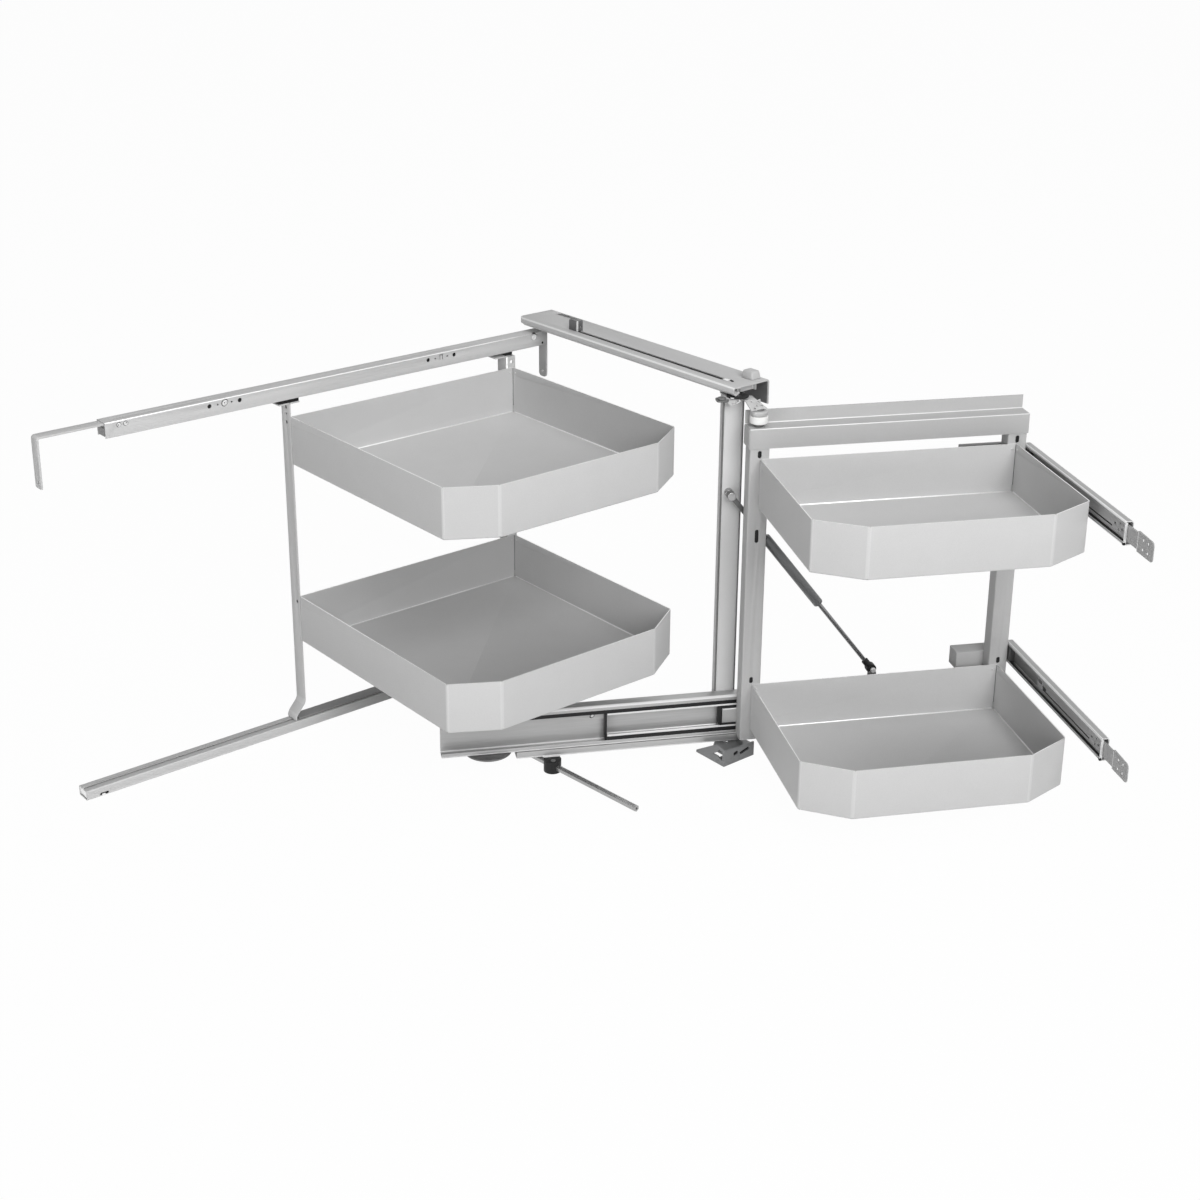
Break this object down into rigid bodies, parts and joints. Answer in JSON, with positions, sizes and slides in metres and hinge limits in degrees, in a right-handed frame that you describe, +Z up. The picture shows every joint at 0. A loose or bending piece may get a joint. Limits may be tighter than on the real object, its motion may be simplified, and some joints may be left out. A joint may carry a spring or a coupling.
{
  "type": "blind corner pull out",
  "caption": "Blind corner cabinet pull out: rear trays sliding on rails, front trays on a swivelling slide frame with door arms and a gas strut.",
  "frame": {"origin": "on the cabinet floor, under the axis of the swivel", "axes": "+X along the rear rails towards the door side, +Y into the cabinet, +Z up"},
  "size_m": [1.3163, 1.1437, 0.637],
  "materials": {
    "silver_coat": "fine silver-grey powder coat",
    "zinc_plate": "bright zinc plate",
    "bright_steel": "bright plated steel",
    "black_plastic": "matt black nylon",
    "grey_coat": "mid grey coat",
    "dark_coat": "dark grey lacquer",
    "white_nylon": "white nylon",
    "grey_plastic": "light grey plastic"
  },
  "bodies": {
    "cabinet_frame": {"upper_rail": "silver_coat", "left_strip": "silver_coat", "right_strip": "silver_coat", "lower_rail": "silver_coat", "top_channel": "silver_coat", "slot_tab": "silver_coat", "slot_stop": "black_plastic", "bumper_block": "grey_plastic", "top_pin": "bright_steel", "floor_bracket": "grey_coat", "floor_pin": "bright_steel"},
    "rear_carriage": {"left_upright": "silver_coat", "right_upright": "silver_coat", "left_shoe": "black_plastic", "right_shoe": "black_plastic", "lower_runner": "black_plastic", "rear_upper_tray": "silver_coat", "rear_lower_tray": "silver_coat", "rear_tray_screws": "bright_steel"},
    "swivel": {"column": "silver_coat", "column_plate": "silver_coat", "roller_bracket": "zinc_plate", "roller_pin": "bright_steel", "slide_outer": "zinc_plate", "ball_strips": "black_plastic", "slide_carrier": "zinc_plate", "tail_disc": "zinc_plate", "rod_bush": "black_plastic", "bush_screw": "bright_steel", "stop_rod": "bright_steel", "strut_pin": "bright_steel"},
    "roller": {"guide_roller": "white_nylon"},
    "middle_member": {"slide_middle": "zinc_plate"},
    "front_frame": {"slide_inner": "zinc_plate", "left_post": "silver_coat", "right_post": "silver_coat", "crossbar": "silver_coat", "stub_tube": "zinc_plate", "tie_bar": "zinc_plate", "front_upper_tray": "silver_coat", "front_lower_tray": "silver_coat", "front_tray_screws": "bright_steel", "upper_arm_channel": "zinc_plate", "lower_arm_channel": "zinc_plate", "strut_bracket": "zinc_plate"},
    "upper_arm": {"upper_arm_bar": "zinc_plate"},
    "lower_arm": {"lower_arm_bar": "zinc_plate"},
    "strut_tube": {"strut_eye": "zinc_plate", "strut_barrel": "dark_coat"},
    "strut_piston": {"strut_rod": "bright_steel", "strut_clip": "black_plastic", "strut_stud": "bright_steel"}
  },
  "joints": [
    {"name": "swing", "type": "hinge", "parent": "cabinet_frame", "child": "swivel", "pos_m": [0, 0, 0.3], "axis": [0, 0, 1], "range_deg": [-61.8, 0]},
    {"name": "rear_slide", "type": "slide", "parent": "cabinet_frame", "child": "rear_carriage", "axis": [1, 0, 0], "range_m": [-0.2861, 0]},
    {"name": "front_slide", "type": "slide", "parent": "swivel", "child": "front_frame", "axis": [0.8813, -0.4726, 0], "range_m": [-0.11, 0]},
    {"name": "middle_slide", "type": "slide", "parent": "swivel", "child": "middle_member", "axis": [0.8813, -0.4726, 0], "range_m": [-0.0645, 0]},
    {"name": "roller_spin", "type": "hinge", "parent": "swivel", "child": "roller", "pos_m": [0.0129, -0.03415, 0.5725], "axis": [0, 0, 1], "continuous": true},
    {"name": "upper_arm_slide", "type": "slide", "parent": "front_frame", "child": "upper_arm", "axis": [-0.4726, -0.8813, 0], "range_m": [-0.06, 0.1]},
    {"name": "lower_arm_slide", "type": "slide", "parent": "front_frame", "child": "lower_arm", "axis": [-0.4726, -0.8813, 0], "range_m": [-0.06, 0.1]},
    {"name": "strut_pivot", "type": "hinge", "parent": "swivel", "child": "strut_tube", "pos_m": [-0.00667, 0.00131, 0.444], "axis": [0.4726, 0.8813, 0], "range_deg": [0, 14.81]},
    {"name": "strut_stroke", "type": "slide", "parent": "strut_tube", "child": "strut_piston", "axis": [0.5401, -0.2896, -0.7902], "range_m": [-0.0564, 0]}
  ],
  "couplings": [
    {"joint": "rear_slide", "follows": "swing", "m_per_rad": 0.26516},
    {"joint": "middle_slide", "follows": "front_slide", "ratio": 0.585},
    {"joint": "lower_arm_slide", "follows": "upper_arm_slide", "ratio": 1},
    {"joint": "strut_pivot", "follows": "front_slide", "rad_per_m": -2.3418},
    {"joint": "strut_stroke", "follows": "front_slide", "ratio": 0.51046}
  ]
}
